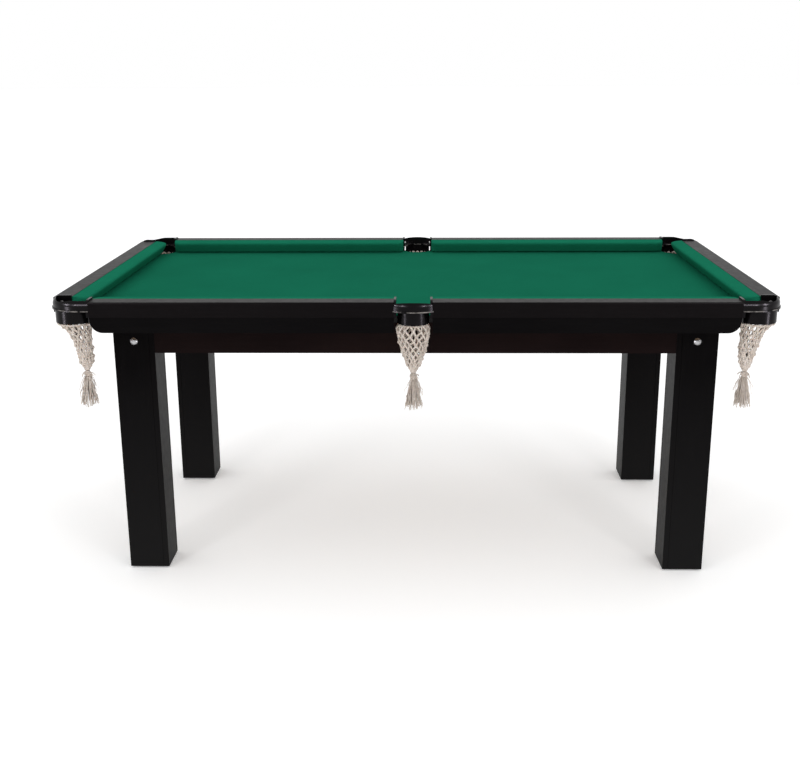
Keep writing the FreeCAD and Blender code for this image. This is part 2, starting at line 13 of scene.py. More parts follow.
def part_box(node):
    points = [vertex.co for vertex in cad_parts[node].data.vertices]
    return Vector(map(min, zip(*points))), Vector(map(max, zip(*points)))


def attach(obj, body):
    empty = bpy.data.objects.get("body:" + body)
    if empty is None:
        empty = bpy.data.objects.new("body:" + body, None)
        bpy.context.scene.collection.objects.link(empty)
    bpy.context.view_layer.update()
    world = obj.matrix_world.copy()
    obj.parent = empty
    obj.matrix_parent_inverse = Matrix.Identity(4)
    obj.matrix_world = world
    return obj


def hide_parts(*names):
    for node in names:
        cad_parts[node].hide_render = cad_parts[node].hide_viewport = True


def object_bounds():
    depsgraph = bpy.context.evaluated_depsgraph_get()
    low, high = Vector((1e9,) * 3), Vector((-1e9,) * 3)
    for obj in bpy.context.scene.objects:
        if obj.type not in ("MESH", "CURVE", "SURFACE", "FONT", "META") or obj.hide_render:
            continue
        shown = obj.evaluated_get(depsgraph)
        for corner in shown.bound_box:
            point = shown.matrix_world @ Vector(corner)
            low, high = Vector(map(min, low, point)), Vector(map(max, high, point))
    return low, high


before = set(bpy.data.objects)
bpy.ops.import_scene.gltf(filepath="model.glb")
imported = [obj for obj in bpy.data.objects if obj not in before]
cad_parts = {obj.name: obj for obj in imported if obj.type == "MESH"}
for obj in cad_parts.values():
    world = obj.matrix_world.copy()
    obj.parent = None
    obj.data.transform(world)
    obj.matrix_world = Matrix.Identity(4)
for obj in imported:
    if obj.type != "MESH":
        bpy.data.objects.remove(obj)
cad_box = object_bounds()

ROOT = "table"
# Quarters and ends of the table, each with the sign of its X.
QUARTERS = {"front_left": -1, "front_right": 1, "back_left": -1, "back_right": 1}
ENDS = {"left": -1, "right": 1}
SIDES = ("front", "back")


# ---- node helpers ----------------------------------------------------------------------------


class Nodes:
    """A small wrapper that makes and joins shader nodes."""

    def __init__(self, name):
        self.mat = bpy.data.materials.new(name)
        self.mat.use_nodes = True
        self.tree = self.mat.node_tree
        self.tree.nodes.clear()
        self.out = self.tree.nodes.new("ShaderNodeOutputMaterial")
        self.bsdf = self.tree.nodes.new("ShaderNodeBsdfPrincipled")
        self.tree.links.new(self.bsdf.outputs[0], self.out.inputs["Surface"])

    def add(self, kind, **settings):
        node = self.tree.nodes.new("ShaderNode" + kind)
        for key, value in settings.items():
            setattr(node, key, value)
        return node

    def link(self, source, target):
        self.tree.links.new(source, target)

    def set(self, **values):
        for key, value in values.items():
            self.bsdf.inputs[key.replace("_", " ")].default_value = value

    def coords(self, scale=(1, 1, 1), turn=(0, 0, 0)):
        """Object coordinates, in metres, scaled and turned."""
        where = self.add("TexCoord")
        mapping = self.add("Mapping")
        mapping.inputs["Scale"].default_value = scale
        mapping.inputs["Rotation"].default_value = turn
        self.link(where.outputs["Object"], mapping.inputs["Vector"])
        return mapping.outputs["Vector"]

    def noise(self, scale, detail=3.0, rough=0.5, vector=None):
        node = self.add("TexNoise")
        node.inputs["Scale"].default_value = scale
        node.inputs["Detail"].default_value = detail
        node.inputs["Roughness"].default_value = rough
        self.link(vector or self.coords(), node.inputs["Vector"])
        return node.outputs["Fac"]

    def spread(self, value, low, high, start=0.3, end=0.7):
        """The value, from start to end, mapped to low to high."""
        node = self.add("MapRange")
        for name, number in (("From Min", start), ("From Max", end), ("To Min", low), ("To Max", high)):
            node.inputs[name].default_value = number
        self.link(value, node.inputs["Value"])
        return node.outputs["Result"]

    def mix(self, factor, a, b):
        """Colour a where the factor is 0, b where it is 1."""
        node = self.add("Mix", data_type="RGBA", blend_type="MIX")
        self.link(factor, node.inputs[0])
        for socket, value in ((node.inputs[6], a), (node.inputs[7], b)):
            if isinstance(value, (tuple, list)):
                socket.default_value = (*value, 1.0)[:4]
            else:
                self.link(value, socket)
        return node.outputs[2]

    def math(self, operation, a, b=0.0):
        node = self.add("Math", operation=operation)
        for socket, value in ((node.inputs[0], a), (node.inputs[1], b)):
            if isinstance(value, (int, float)):
                socket.default_value = value
            else:
                self.link(value, socket)
        return node.outputs[0]

    def bump(self, height, distance, strength=1.0, under=None):
        node = self.add("Bump")
        node.inputs["Strength"].default_value = strength
        node.inputs["Distance"].default_value = distance
        self.link(height, node.inputs["Height"])
        if under is not None:
            self.link(under, node.inputs["Normal"])
        return node.outputs["Normal"]

    def facing(self):
        """Upward share of the face's direction: 1 on a top, 0 on a side, -1 underneath."""
        geometry, parts = self.add("NewGeometry"), self.add("SeparateXYZ")
        self.link(geometry.outputs["True Normal"], parts.inputs[0])
        return parts.outputs["Z"]

    def height(self, low, high, bottom, top):
        """Low at the height bottom, high at the height top, in metres above the floor."""
        parts = self.add("SeparateXYZ")
        self.link(self.coords(), parts.inputs[0])
        return self.spread(parts.outputs["Z"], low, high, bottom, top)

    def normal(self, value):
        self.link(value, self.bsdf.inputs["Normal"])

    def drive(self, name, value):
        self.link(value, self.bsdf.inputs[name])


RAIL_SHINE, WOOD_SHINE, PLASTIC_SHINE = 0.048, 0.022, 0.08        # specular levels
LACQUER_TINT, PLASTIC_TINT = (1.0, 0.87, 0.90, 1.0), (1.0, 0.94, 1.0, 1.0)
FLOOR_LIGHT_TOP = 0.62            # height at which the painted light from the floor on a leg has faded out


def lacquer(name, colour, gloss, grain_axis=0, warm=0.0, floor_light=0.0, shine=WOOD_SHINE):
    """Black lacquer over board: colour drift, orange peel, scuffs, faint grain, and painted light from the
    floor low down.
    """
    m = Nodes(name)
    stretch = [30.0, 30.0, 30.0]
    stretch[grain_axis] = 1.6
    drift = m.noise(3.0, 4.0)
    grain = m.noise(6.0, 6.0, 0.65, m.coords(tuple(stretch)))
    light = tuple(min(1.0, c * 1.7 + 0.0003 + w) for c, w in zip(colour, (warm, warm * 0.3, 0.0)))
    base = m.mix(m.spread(drift, 0.0, 1.0), colour, light)
    fleck = m.mix(m.spread(grain, 0.0, 0.35, 0.45, 0.75), base, tuple(c * 2.4 + 0.001 for c in colour))
    # painted light from the floor: the colour grows lighter towards the floor
    if floor_light:
        pale = tuple(c + floor_light for c in colour)
        fleck = m.mix(m.height(1.0, 0.0, 0.0, FLOOR_LIGHT_TOP), fleck, pale)
    m.drive("Base Color", fleck)
    scuff = m.noise(55.0, 6.0, 0.7)
    m.drive("Roughness", m.math("ADD", m.spread(scuff, gloss - 0.03, gloss + 0.06),
                                m.spread(grain, 0.0, 0.05)))
    m.set(Specular_IOR_Level=shine, Specular_Tint=LACQUER_TINT)
    peel = m.noise(420.0, 2.0)
    m.normal(m.bump(peel, 0.00012, 0.35, m.bump(grain, 0.00015, 0.35)))
    return m.mat


THREAD_SCALE = 210.0       # bands of the baize's weave
SHEEN_GREEN = (0.15, 0.8, 0.5, 1.0)


def baize(name, colour, deep, turn=0.0):
    """Woven wool cloth: crossed threads, nap and a soft sheen."""
    m = Nodes(name)
    vector = m.coords((1, 1, 1), (0, 0, turn))
    waves = []
    for axis in ("X", "Y"):
        wave = m.add("TexWave", wave_type="BANDS", bands_direction=axis, wave_profile="SIN")
        wave.inputs["Scale"].default_value = THREAD_SCALE
        wave.inputs["Distortion"].default_value = 1.4
        wave.inputs["Detail"].default_value = 2.0
        wave.inputs["Detail Scale"].default_value = 1.5
        m.link(vector, wave.inputs["Vector"])
        waves.append(wave.outputs["Fac"])
    weave = m.math("MULTIPLY", waves[0], waves[1])
    nap = m.noise(1500.0, 4.0, 0.7)
    cloud = m.noise(5.0, 5.0, 0.6)
    tint = m.mix(m.spread(cloud, 0.0, 1.0), colour, tuple(c * 1.16 for c in colour))
    tint = m.mix(m.spread(nap, 0.0, 0.5), tint, deep)
    tint = m.mix(m.math("MULTIPLY", weave, 0.28), tint, tuple(c * 1.5 for c in colour))
    m.drive("Base Color", tint)
    m.drive("Roughness", m.spread(nap, 0.82, 0.97))
    m.set(Sheen_Weight=0.015, Sheen_Roughness=0.5, Sheen_Tint=SHEEN_GREEN, Specular_IOR_Level=0.0)
    m.normal(m.bump(nap, 0.0004, 0.5, m.bump(weave, 0.0005, 0.5)))
    return m.mat


BEAD_LOW, BEAD_HIGH = 0.7868, 0.7902          # heights of the castings' bead, where a highlight is painted
BEAD_BLUR = 0.0006         # height over which the painted highlight on the bead fades
BEAD_HIGHLIGHT = (0.20, 0.185, 0.175)


def moulded(name, colour, gloss):
    """Black gloss moulded plastic with a faint flow ripple, and a painted highlight in broken stretches
    along its bead.
    """
    m = Nodes(name)
    flow = m.noise(14.0, 3.0)
    fine = m.noise(600.0, 2.0)
    highlight_break_up = m.noise(38.0, 3.0)
    # painted highlight: a pale line along the bead, broken up by noise
    bead = m.math("MULTIPLY", m.height(0.0, 1.0, BEAD_LOW, BEAD_LOW + BEAD_BLUR),
                  m.height(1.0, 0.0, BEAD_HIGH - BEAD_BLUR, BEAD_HIGH))
    black = m.mix(m.spread(flow, 0.0, 1.0), colour, tuple(c * 1.8 + 0.0005 for c in colour))
    painted_highlight = m.math("MULTIPLY", bead, m.spread(highlight_break_up, 0.0, 1.0, 0.42, 0.62))
    m.drive("Base Color", m.mix(painted_highlight, black, BEAD_HIGHLIGHT))
    m.drive("Roughness", m.spread(fine, gloss, gloss + 0.05))
    m.set(Specular_IOR_Level=PLASTIC_SHINE, Specular_Tint=PLASTIC_TINT)
    m.normal(m.bump(flow, 0.0003, 0.3))
    return m.mat


def cotton(name, colour, shade):
    """Twisted cotton cord, undyed, in patches of darker tone, with painted shade in the grooves of its
    twist.
    """
    m = Nodes(name)
    twist = m.add("TexWave", wave_type="BANDS", bands_direction="DIAGONAL", wave_profile="SIN")
    twist.inputs["Scale"].default_value = 330.0
    twist.inputs["Distortion"].default_value = 5.0
    twist.inputs["Detail"].default_value = 3.0
    m.link(m.coords(), twist.inputs["Vector"])
    fuzz = m.noise(2200.0, 4.0, 0.7)
    patch = m.noise(70.0, 4.0, 0.6)
    tone = m.mix(m.spread(patch, 0.0, 1.0, 0.35, 0.65), colour, shade)
    # painted shade: darker in the grooves of the twist
    tone = m.mix(m.math("MULTIPLY", twist.outputs["Fac"], 0.22), tone, tuple(c * 0.6 for c in shade))
    m.drive("Base Color", tone)
    m.drive("Roughness", m.spread(fuzz, 0.8, 0.98))
    m.set(Sheen_Weight=0.3, Sheen_Roughness=0.5, Specular_IOR_Level=0.2, Subsurface_Weight=0.05)
    m.normal(m.bump(fuzz, 0.0003, 0.6, m.bump(twist.outputs["Fac"], 0.0006, 0.8)))
    return m.mat


def metal(name, colour, gloss):
    """Plated steel with fine turning marks."""
    m = Nodes(name)
    marks = m.noise(900.0, 3.0)
    stain = m.noise(120.0, 4.0)
    m.drive("Base Color", m.mix(m.spread(stain, 0.0, 0.35), colour, tuple(c * 0.7 for c in colour)))
    m.drive("Roughness", m.spread(marks, gloss, gloss + 0.1))
    m.set(Metallic=1.0)
    m.normal(m.bump(marks, 0.00005, 0.3))
    return m.mat


def timber(name, colour, dark, long_axis, edge=None):
    """Sawn softwood or raw board, its upright faces dark where edge is given."""
    m = Nodes(name)
    stretch = [24.0, 24.0, 24.0]
    stretch[long_axis] = 1.2
    grain = m.noise(5.0, 7.0, 0.6, m.coords(tuple(stretch)))
    pores = m.noise(500.0, 3.0)
    tone = m.mix(m.spread(grain, 0.0, 1.0), colour, dark)
    # darker on upright faces
    if edge is not None:
        flat = m.math("ABSOLUTE", m.facing())
        tone = m.mix(m.spread(flat, 0.0, 1.0, 0.4, 0.6), edge, tone)
    m.drive("Base Color", tone)
    m.drive("Roughness", m.spread(pores, 0.6, 0.8))
    m.normal(m.bump(pores, 0.0003, 0.4, m.bump(grain, 0.0006, 0.4)))
    return m.mat


def soft_black(name, colour):
    """Matt moulded rubber or nylon."""
    m = Nodes(name)
    grit = m.noise(800.0, 3.0)
    m.drive("Base Color", m.mix(m.spread(grit, 0.0, 1.0), colour, tuple(c * 1.6 for c in colour)))
    m.drive("Roughness", m.spread(grit, 0.55, 0.75))
    m.normal(m.bump(grit, 0.0001, 0.4))
    return m.mat


BLACK, SKIRT_BLACK = (0.0011, 0.0009, 0.0010), (0.0014, 0.0013, 0.0014)
BROWN_BLACK, APRON_WARMTH = (0.0046, 0.0026, 0.0026), 0.001
LEG_FLOOR_LIGHT = 0.0075          # painted light from the floor, added to a leg's colour at its foot
DARK_BOARD_EDGE = (0.003, 0.0025, 0.0025)
CUSHION_LIGHTER, CUSHION_DEEP_LIGHTER = 1.2, 1.1      # cushion cloth against bed cloth: the same baize, given painted light so the cushions read brighter
RAIL = lacquer("black_rail_lacquer", BLACK, 0.34, 0, shine=RAIL_SHINE)
RAIL_END = lacquer("black_rail_lacquer_cross", BLACK, 0.34, 1, shine=RAIL_SHINE)
SKIRT = lacquer("black_skirt_lacquer", SKIRT_BLACK, 0.36, 0)
SKIRT_END = lacquer("black_skirt_lacquer_cross", SKIRT_BLACK, 0.36, 1)
APRON = lacquer("brown_black_lacquer", BROWN_BLACK, 0.38, 0, APRON_WARMTH)
APRON_END = lacquer("brown_black_lacquer_cross", BROWN_BLACK, 0.38, 1, APRON_WARMTH)
LEG = lacquer("black_leg_lacquer", SKIRT_BLACK, 0.34, 2, 0.0, LEG_FLOOR_LIGHT)
CLOTH_GREEN, CLOTH_DEEP = (0.0072, 0.126, 0.070), (0.0040, 0.080, 0.045)
BED_CLOTH = baize("bed_baize", CLOTH_GREEN, CLOTH_DEEP)
CUSHION_CLOTH = baize("cushion_baize", tuple(c * CUSHION_LIGHTER for c in CLOTH_GREEN),
                      tuple(c * CUSHION_DEEP_LIGHTER for c in CLOTH_DEEP), 0.15)
CASTING = moulded("gloss_black_plastic", (0.0012, 0.0010, 0.0011), 0.23)
COTTON = cotton("net_cotton", (0.72, 0.63, 0.56), (0.52, 0.43, 0.365))
CHROME = metal("bolt_chrome", (0.42, 0.42, 0.43), 0.22)
ZINC = metal("zinc_steel", (0.6, 0.6, 0.58), 0.3)
BOARD = timber("raw_fibreboard", (0.30, 0.20, 0.12), (0.22, 0.14, 0.08), 0, DARK_BOARD_EDGE)
BLOCK = timber("sawn_pine", (0.50, 0.34, 0.19), (0.34, 0.21, 0.10), 1)
RUBBER = soft_black("cushion_rubber", (0.02, 0.02, 0.02))
NYLON = soft_black("foot_nylon", (0.012, 0.012, 0.012))


def paint(node, material):
    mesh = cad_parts[node].data
    mesh.materials.clear()
    mesh.materials.append(material)


# Bevel widths of the CAD pieces, by how their names start.
EDGE_WIDTHS = {"rail_": 0.0014, "skirt_": 0.0018, "apron_": 0.0010, "casting_": 0.0007}
EDGE_SEGMENTS = 2


def soften(node, width):
    """A small bevel on a CAD piece's sharp edges."""
    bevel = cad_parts[node].modifiers.new("edge", "BEVEL")
    bevel.width = width
    bevel.segments = EDGE_SEGMENTS
    bevel.limit_method = "ANGLE"
    bevel.angle_limit = math.radians(40)
    bevel.harden_normals = False


for quarter in QUARTERS:
    paint("rail_" + quarter, RAIL)
    paint("skirt_" + quarter, SKIRT)
    paint("leg_" + quarter, LEG)
    paint("casting_" + quarter, CASTING)
    paint("foot_pad_" + quarter, NYLON)
    paint("foot_stud_" + quarter, ZINC)
for end in ENDS:
    paint("rail_end_" + end, RAIL_END)
    paint("skirt_end_" + end, SKIRT_END)
    paint("apron_" + end, APRON_END)
for side in SIDES:
    paint("apron_" + side, APRON)
    paint("casting_middle_" + side, CASTING)
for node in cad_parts:
    for start, width in EDGE_WIDTHS.items():
        if node.startswith(start):
            soften(node, width)
paint("bed_board", BOARD)
paint("cross_beams", BLOCK)
paint("corner_blocks", BLOCK)
paint("cushion_rubbers", RUBBER)
paint("leg_bolts", CHROME)
paint("leg_nuts", ZINC)
paint("wood_screws", ZINC)


# ---- mesh helpers ----------------------------------------------------------------------------


def new_piece(name, verts, faces, material, smooth=True):
    """A mesh piece in the scene, its normals facing out."""
    mesh = bpy.data.meshes.new(name)
    mesh.from_pydata([tuple(v) for v in verts], [], faces)
    mesh.validate()
    bm = bmesh.new()
    bm.from_mesh(mesh)
    bmesh.ops.recalc_face_normals(bm, faces=bm.faces)
    bm.to_mesh(mesh)
    bm.free()
    if smooth:
        for polygon in mesh.polygons:
            polygon.use_smooth = True
    mesh.materials.append(material)
    piece = bpy.data.objects.new(name, mesh)
    bpy.context.scene.collection.objects.link(piece)
    return piece


def shares(steps):
    """Even shares from 0 to 1, one more than the steps."""
    return [i / steps for i in range(steps + 1)]


def round_spot(x, y, radius, angle, z):
    """The point at an angle on a level circle."""
    return Vector((x + radius * math.cos(angle), y + radius * math.sin(angle), z))


class Strands:
    """Collects round cords into one mesh."""

    def __init__(self):
        self.verts, self.faces = [], []

    def cord(self, points, radius, sides=6, taper=None):
        """A tube through the points; taper gives the radius share along it."""
        count = len(points)
        base = len(self.verts)
        up = Vector((0.3, 0.2, 0.93))
        for i, point in enumerate(points):
            ahead = points[min(i + 1, count - 1)] - points[max(i - 1, 0)]
            ahead.normalize()
            side = ahead.cross(up)
            if side.length < 1e-4:
                side = ahead.cross(Vector((1, 0, 0)))
            side.normalize()
            up = side.cross(ahead)
            share = 1.0 if taper is None else taper(i / (count - 1))
            for k in range(sides):
                angle = 2 * math.pi * k / sides
                self.verts.append(point + (side * math.cos(angle) + up * math.sin(angle)) * radius * share)
        for i in range(count - 1):
            for k in range(sides):
                a, b = base + i * sides + k, base + i * sides + (k + 1) % sides
                self.faces.append((a, b, b + sides, a + sides))
        self.faces.append(tuple(base + k for k in range(sides))[::-1])
        self.faces.append(tuple(base + (count - 1) * sides + k for k in range(sides)))

    def knob(self, centre, size, rings=5, sides=8):
        """A small lumpy knot."""
        base = len(self.verts)
        for i in range(rings + 1):
            angle = math.pi * i / rings
            for k in range(sides):
                turn = 2 * math.pi * k / sides
                way = Vector((math.sin(angle) * math.cos(turn), math.sin(angle) * math.sin(turn),
                              math.cos(angle)))
                self.verts.append(centre + Vector((way.x * size[0], way.y * size[1], way.z * size[2])))
        for i in range(rings):
            for k in range(sides):
                a, b = base + i * sides + k, base + i * sides + (k + 1) % sides
                self.faces.append((a, b, b + sides, a + sides))

    def piece(self, name, material):
        return new_piece(name, self.verts, self.faces, material)


# ---- bed cloth ------------------------------------------------------------------------------

CLOTH_GRID = 0.05          # rough spacing of the cuts across the bed cloth


def bed_cloth():
    """Copy of the CAD bed cloth, cut into a grid so that its faces stay small."""
    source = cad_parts["bed_cloth"].data
    bm = bmesh.new()
    bm.from_mesh(source)
    bmesh.ops.remove_doubles(bm, verts=bm.verts, dist=1e-6)
    low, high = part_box("bed_cloth")
    for axis, a, b in ((0, low[0], high[0]), (1, low[1], high[1])):
        count = int((b - a) / CLOTH_GRID)
        for i in range(1, count):
            at = a + (b - a) * i / count
            point, normal = Vector((0, 0, 0)), Vector((0, 0, 0))
            point[axis], normal[axis] = at, 1.0
            bmesh.ops.bisect_plane(bm, geom=bm.verts[:] + bm.edges[:] + bm.faces[:], plane_co=point,
                                   plane_no=normal)
    mesh = bpy.data.meshes.new("bed_cloth_sheet")
    bm.to_mesh(mesh)
    bm.free()
    mesh.materials.append(BED_CLOTH)
    piece = bpy.data.objects.new("bed_cloth_sheet", mesh)
    bpy.context.scene.collection.objects.link(piece)
    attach(piece, ROOT)
    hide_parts("bed_cloth")


bed_cloth()

# ---- cushions -------------------------------------------------------------------------------

# Section of a cushion from its back top edge round the nose to its foot: (reach share, height share).
SECTION = [(0.0, 0.965), (0.02, 0.992), (0.06, 1.0), (0.35, 0.995), (0.65, 0.975), (0.82, 0.95),
           (0.92, 0.915), (0.98, 0.865), (1.0, 0.80), (0.985, 0.72), (0.94, 0.62), (0.87, 0.49),
           (0.79, 0.35), (0.71, 0.21), (0.64, 0.08), (0.60, 0.015), (0.56, 0.0), (0.0, 0.0)]
ROUND_AT_CORNER, ROUND_AT_MIDDLE = 0.024, 0.020      # rounding of the nose at each kind of pocket
ROUND_STEPS = 18
STATION_GAP = 0.03         # rough spacing of the sections between the roundings
NOSE_INSET, END_INSET, FOOT_INSET = 0.0006, 0.0004, 0.0002      # inside the CAD cushion's box
CREASE = math.radians(50)


def cushion(name, node, along, start_round, end_round):
    """Cloth-covered cushion along X (0) or Y (1), its nose curving back to the wood at both ends."""
    low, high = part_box(node)
    across = 1 - along
    inward = -1 if (low[across] + high[across]) > 0 else 1
    back = low[across] if inward > 0 else high[across]
    reach = high[across] - low[across] - NOSE_INSET
    s0, s1 = low[along] + END_INSET, high[along] - END_INSET
    z0, tall = low[2] + FOOT_INSET, high[2] - low[2] - FOOT_INSET

    def depth(s):
        """How far the nose stands out at s."""
        value = reach
        for gap, away in ((s - s0, start_round), (s1 - s, end_round)):
            if gap < away:
                value = min(value, reach - away + math.sqrt(max(away ** 2 - (away - gap) ** 2, 0.0)))
        return value

    stations = []
    for away, sign, origin in ((start_round, 1, s0), (end_round, -1, s1)):
        stations.append([origin + sign * away * (1 - math.cos(math.pi / 2 * i / ROUND_STEPS))
                         for i in range(ROUND_STEPS + 1)])
    middle_count = int((stations[1][-1] - stations[0][-1]) / STATION_GAP)
    middle = [stations[0][-1] + (stations[1][-1] - stations[0][-1]) * i / middle_count
              for i in range(1, middle_count)]
    line = stations[0] + middle + stations[1][::-1]
    verts, faces = [], []
    for s in line:
        d = depth(s)
        for share, height in SECTION:
            point = [0.0, 0.0, z0 + tall * height]
            point[along] = s
            point[across] = back + inward * d * share
            verts.append(point)
    n = len(SECTION)
    for i in range(len(line) - 1):
        for k in range(n - 1):
            a = i * n + k
            faces.append((a, a + 1, a + n + 1, a + n))
    faces.append(tuple(range(n)))
    faces.append(tuple((len(line) - 1) * n + k for k in range(n)))
    for i in range(len(line) - 1):
        faces.append((i * n, (i + 1) * n, (i + 2) * n - 1, (i + 1) * n - 1))
    piece = new_piece(name, verts, faces, CUSHION_CLOTH)
    piece.data.set_sharp_from_angle(angle=CREASE)
    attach(piece, ROOT)
    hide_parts(node)


for quarter, side_x in QUARTERS.items():
    roundings = (ROUND_AT_CORNER, ROUND_AT_MIDDLE) if side_x < 0 else (ROUND_AT_MIDDLE, ROUND_AT_CORNER)
    cushion("cushion_" + quarter, "cushion_cloth_" + quarter, 0, *roundings)
for end in ENDS:
    cushion("cushion_end_" + end, "cushion_cloth_end_" + end, 1, ROUND_AT_CORNER, ROUND_AT_CORNER)

# ---- nets -----------------------------------------------------------------------------------

# Net outlines from the cup down: depth below the cup, radius, lean towards the table's middle.
CORNER_NET = [(0.0, 0.0490, 0.0), (0.025, 0.0315, 0.006), (0.049, 0.0270, 0.013), (0.082, 0.0230, 0.018),
              (0.113, 0.0185, 0.020), (0.126, 0.0115, 0.020), (0.134, 0.0085, 0.020)]
MIDDLE_NET = [(0.0, 0.0400, 0.0), (0.011, 0.0475, 0.0), (0.025, 0.0465, 0.0), (0.049, 0.0405, 0.0),
              (0.079, 0.0325, 0.0), (0.107, 0.0235, 0.0), (0.120, 0.0145, 0.0), (0.134, 0.0085, 0.0)]
NET_COLUMNS = 14
NET_ROWS = 11
CORD_R = 0.0025
NET_SKIN = 0.0004          # the mesh cord's clearance inside the net's outline
LACE_INSET = 0.0038        # and the lacing's
LOOP_SAG = 0.002           # sag of the loops at the cup's edge
KNOT_LOOSE, KNOT_TIGHT = 0.0027, 0.0004      # wander of the knots, and at the net's two ends
NECK_STRANDS = 16
NECK_START, NECK_RUN = 0.020, 0.0195         # the bundle's start above the net's end, and its length
LACE_LOW, LACE_HIGH = -0.002, 0.0115        # the lacing inside the cup, from the cup's lower edge


def along_outline(outline, down):
    """Radius and lean at a depth, by straight steps."""
    for (d0, r0, l0), (d1, r1, l1) in zip(outline, outline[1:]):
        if down <= d1:
            t = (down - d0) / (d1 - d0)
            t = max(0.0, min(1.0, t))
            return r0 + (r1 - r0) * t, l0 + (l1 - l0) * t
    return outline[-1][1], outline[-1][2]


def net(name, node, centre, lean_way, outline, seed):
    """Knotted diamond mesh that gathers into a tied neck."""
    rng = random.Random(seed)
    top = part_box(node)[1][2]
    long = outline[-1][0]
    strands = Strands()

    def spot(column, row, push=0.0):
        t = row / NET_ROWS
        down = long * (t ** 0.93)
        radius, lean = along_outline(outline, down)
        angle = 2 * math.pi * column / NET_COLUMNS
        r = radius - CORD_R - NET_SKIN + push
        return round_spot(centre[0] + lean_way * lean, centre[1], r, angle, top - down)

    jitter = {}

    def knot_at(column, row):
        key = (round(column * 2) % (NET_COLUMNS * 2), row)
        if key not in jitter:
            loose = KNOT_LOOSE if 0 < row < NET_ROWS - 1 else KNOT_TIGHT
            shift = Vector((rng.uniform(-1, 1), rng.uniform(-1, 1), rng.uniform(-1.2, 1.2))) * loose
            jitter[key] = spot(column, row, rng.uniform(-0.0018, 0.0)) + shift
        return jitter[key]

    for row in range(NET_ROWS):
        for k in range(NET_COLUMNS):
            column = k + 0.5 * (row % 2)
            start = knot_at(column, row)
            for way in (-0.5, 0.5):
                end = knot_at(column + way, row + 1)
                middle = spot(column + way * 0.5, row + 0.5, rng.uniform(-0.001, 0.0008))
                bow = (start + end) * 0.5
                middle = bow.lerp(middle, 0.8)
                points = [start * (1 - t) ** 2 + middle * 2 * t * (1 - t) + end * t ** 2
                          for t in shares(6)]
                strands.cord(points, CORD_R * rng.uniform(0.9, 1.1), 7)
            if row > 0:
                size = CORD_R * rng.uniform(1.45, 1.8)
                strands.knob(start, (size, size, size * 1.15))
    # hanging loops at the cup's edge
    for k in range(NET_COLUMNS):
        points = []
        for t in shares(8):
            angle = 2 * math.pi * (k + t) / NET_COLUMNS
            r = outline[0][1] - CORD_R - NET_SKIN
            sag = LOOP_SAG * math.sin(math.pi * t)
            points.append(round_spot(*centre, r, angle, top - CORD_R - sag))
        strands.cord(points, CORD_R, 7)
    # cord laced round the inside of the cup, in slack bights
    inner = outline[0][1] - LACE_INSET - CORD_R
    for k in range(NET_COLUMNS):
        points = []
        for t in shares(8):
            angle = 2 * math.pi * (k + t) / NET_COLUMNS
            lift = LACE_LOW + (LACE_HIGH - LACE_LOW) * math.sin(math.pi * t) ** 0.8
            points.append(round_spot(*centre, inner, angle, top + lift))
        strands.cord(points, CORD_R, 7)
    # bundle that gathers into the neck
    for k in range(NECK_STRANDS):
        angle = 2 * math.pi * k / NECK_STRANDS + rng.uniform(-0.1, 0.1)
        points = []
        for t in shares(7):
            down = long - NECK_START + NECK_RUN * t
            radius, at = along_outline(outline, down)
            r = max(radius - CORD_R - 0.0005, 0.004) * (1.0 - 0.25 * t)
            points.append(round_spot(centre[0] + lean_way * at, centre[1], r, angle + 0.5 * t, top - down))
        strands.cord(points, CORD_R * 0.95, 6)
    piece = strands.piece(name, COTTON)
    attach(piece, ROOT)
    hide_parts(node)


TASSEL_PROUD = 0.006       # how far loose ends stand outside the CAD cone's width
TASSEL_HANG = 0.004        # how far the longest can end below the cone
KNOT_R = 0.0105
WINDS, LOOSE_ENDS = 6, 7
TASSEL_STRANDS, TASSEL_STRAYS = 84, 13       # all the strands, and those of them that stick out
STRAND_STEPS = 14


